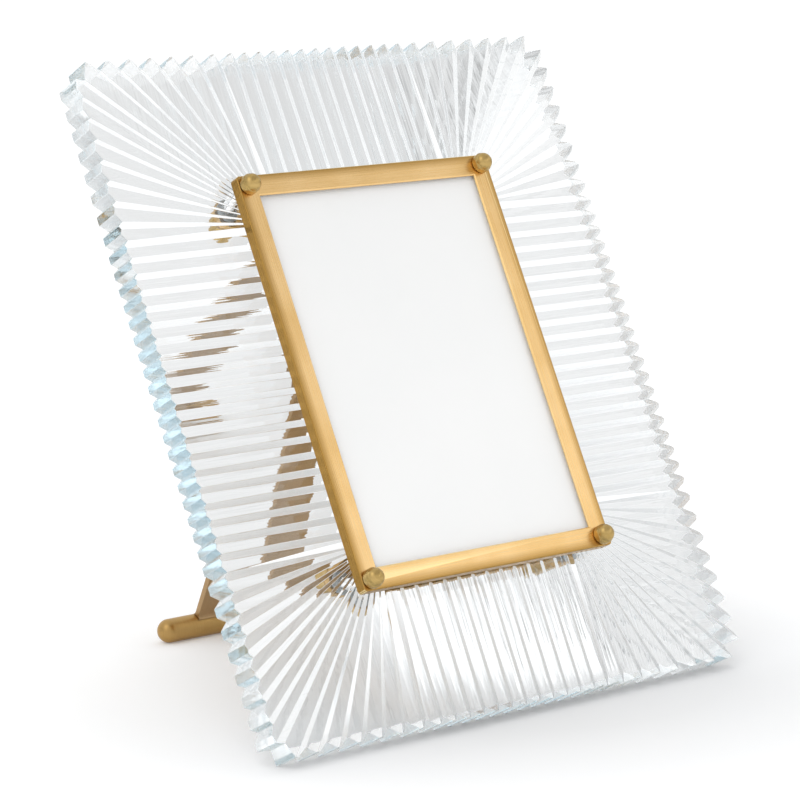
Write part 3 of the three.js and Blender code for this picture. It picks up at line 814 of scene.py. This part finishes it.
def place_camera():
    data = bpy.data.cameras.new("camera")
    data.sensor_width = 36
    data.lens = CAMERA_LENS
    camera = bpy.data.objects.new("camera", data)
    bpy.context.scene.collection.objects.link(camera)
    camera.location = PRINT_MIDDLE + CAMERA_FROM_PRINT
    flat = math.cos(CAMERA_ELEVATION)
    back = Vector((
        math.sin(CAMERA_AZIMUTH) * flat,
        -math.cos(CAMERA_AZIMUTH) * flat,
        math.sin(CAMERA_ELEVATION),
    ))
    level_right = (-back).cross(Vector((0, 0, 1))).normalized()
    level_up = level_right.cross(-back)
    right = level_right * math.cos(CAMERA_ROLL) + level_up * math.sin(CAMERA_ROLL)
    up = level_up * math.cos(CAMERA_ROLL) - level_right * math.sin(CAMERA_ROLL)
    camera.rotation_mode = "QUATERNION"
    camera.rotation_quaternion = Matrix((right, up, back)).transposed().to_quaternion()
    bpy.context.scene.camera = camera


def soft_lamp(name, place, watts):
    """A round lamp that lights the surfaces but shows in no reflection or refraction."""
    data = bpy.data.lights.new(name, "AREA")
    data.shape = "DISK"
    data.size = LAMP_SIZE
    data.energy = watts
    light = bpy.data.objects.new(name, data)
    bpy.context.scene.collection.objects.link(light)
    light.visible_glossy = False
    light.visible_transmission = False
    light.location = place
    light.rotation_mode = "QUATERNION"
    aim = Vector(LAMP_AIM) - Vector(place)
    light.rotation_quaternion = aim.to_track_quat("-Z", "Y")


def direct_view(tree):
    """1 for rays that a viewer, a reflection or a refraction sends."""
    path = add_node(tree, "ShaderNodeLightPath")
    straight, reflected = path.outputs["Is Camera Ray"], path.outputs["Is Glossy Ray"]
    seen = arithmetic(tree, "MAXIMUM", straight, reflected)
    return arithmetic(tree, "MAXIMUM", seen, path.outputs["Is Transmission Ray"])


def graded(tree, value, low, high, stops):
    """A brightness that goes from stop to stop while the value goes from low to high."""
    ramp = add_node(tree, "ShaderNodeValToRGB")
    elements = ramp.color_ramp.elements
    for index, (place, level) in enumerate(stops):
        position = (place - low) / (high - low)
        element = elements[index] if index < 2 else elements.new(position)
        element.position = position
        element.color = (level, level, level, 1)
    tree.links.new(spread(tree, value, low, high, 0.0, 1.0), ramp.inputs["Fac"])
    return ramp.outputs["Color"]


def light_scene():
    """A white room with a bright band and a window in front and a greyer right side."""
    world = bpy.data.worlds.new("studio")
    bpy.context.scene.world = world
    world.use_nodes = True
    tree = world.node_tree
    background = tree.nodes["Background"]
    background.inputs["Color"].default_value = (1, 1, 1, 1)
    coordinates = add_node(tree, "ShaderNodeTexCoord")
    split = add_node(tree, "ShaderNodeSeparateXYZ")
    tree.links.new(coordinates.outputs["Generated"], split.inputs[0])
    wall = graded(tree, split.outputs["X"], -1, 1, BACK_WALL)
    room = graded(tree, split.outputs["Z"], 0, 1, FRONT_ROOM)
    front = spread(tree, split.outputs["Y"], *WALL_TO_FRONT, 0.0, 1.0)
    difference = arithmetic(tree, "SUBTRACT", room, wall)
    strength = arithmetic(tree, "MULTIPLY_ADD", front, difference, wall)
    towards = add_node(tree, "ShaderNodeVectorMath", operation="DOT_PRODUCT")
    tree.links.new(coordinates.outputs["Generated"], towards.inputs[0])
    towards.inputs[1].default_value = WINDOW
    window = spread(tree, towards.outputs["Value"], *WINDOW_EDGE, 0.0, WINDOW_LIGHT)
    strength = arithmetic(tree, "ADD", strength, window)
    dim = spread(tree, split.outputs["X"], *DIM_END)
    tree.links.new(arithmetic(tree, "MULTIPLY", strength, dim), background.inputs["Strength"])
    soft_lamp("key", *KEY_LAMP)
    soft_lamp("rim", *RIM_LAMP)


def lay_floor():
    """A white sweep around the frame, with grey floor beside it behind the frame."""
    let_go()
    bpy.ops.mesh.primitive_plane_add(size=FLOOR_SIZE)
    floor = bpy.context.object
    floor.name = "floor"
    material, tree, shader = node_tree("white_floor")
    shader.inputs["Roughness"].default_value = 1.0
    shader.inputs["Specular IOR Level"].default_value = 0.0
    shader.inputs["Emission Color"].default_value = (1, 1, 1, 1)
    surface = add_node(tree, "ShaderNodeNewGeometry")
    far = add_node(tree, "ShaderNodeVectorMath", operation="DISTANCE")
    tree.links.new(surface.outputs["Position"], far.inputs[0])
    far.inputs[1].default_value = SHADE_MIDDLE
    # Painted shadow: less glow near SHADE_MIDDLE darkens the floor around the frame
    glow = spread(tree, far.outputs["Value"], *FLOOR_GLOW)
    split = add_node(tree, "ShaderNodeSeparateXYZ")
    tree.links.new(surface.outputs["Position"], split.inputs[0])
    camera = PRINT_MIDDLE + CAMERA_FROM_PRINT
    across = arithmetic(tree, "SUBTRACT", split.outputs["X"], camera.x)
    away = arithmetic(tree, "SUBTRACT", split.outputs["Y"], camera.y)
    slope = arithmetic(tree, "DIVIDE", across, arithmetic(tree, "MAXIMUM", away, 0.05))
    left = spread(tree, slope, *SWEEP_LEFT, 0.0, 1.0)
    inside = arithmetic(tree, "MULTIPLY", left, spread(tree, slope, *SWEEP_RIGHT, 0.0, 1.0))
    in_front = spread(tree, split.outputs["Y"], *SWEEP_FRONT, 0.0, 1.0)
    inside = arithmetic(tree, "MAXIMUM", inside, in_front)
    colour = blended(tree, inside, BESIDE_SWEEP, SWEEP_WHITE)
    tree.links.new(colour, shader.inputs["Base Color"])
    glow = arithmetic(tree, "MULTIPLY", glow, inside)
    lift = arithmetic(tree, "MULTIPLY", direct_view(tree), glow)
    tree.links.new(lift, shader.inputs["Emission Strength"])
    floor.data.materials.append(material)


lay_floor()
light_scene()
place_camera()
bpy.context.scene.view_settings.view_transform = "Standard"
bpy.context.scene.cycles.max_bounces = LONGEST_PATH
bpy.context.scene.cycles.glossy_bounces = GLASS_BOUNCES
bpy.context.scene.cycles.transmission_bounces = GLASS_BOUNCES
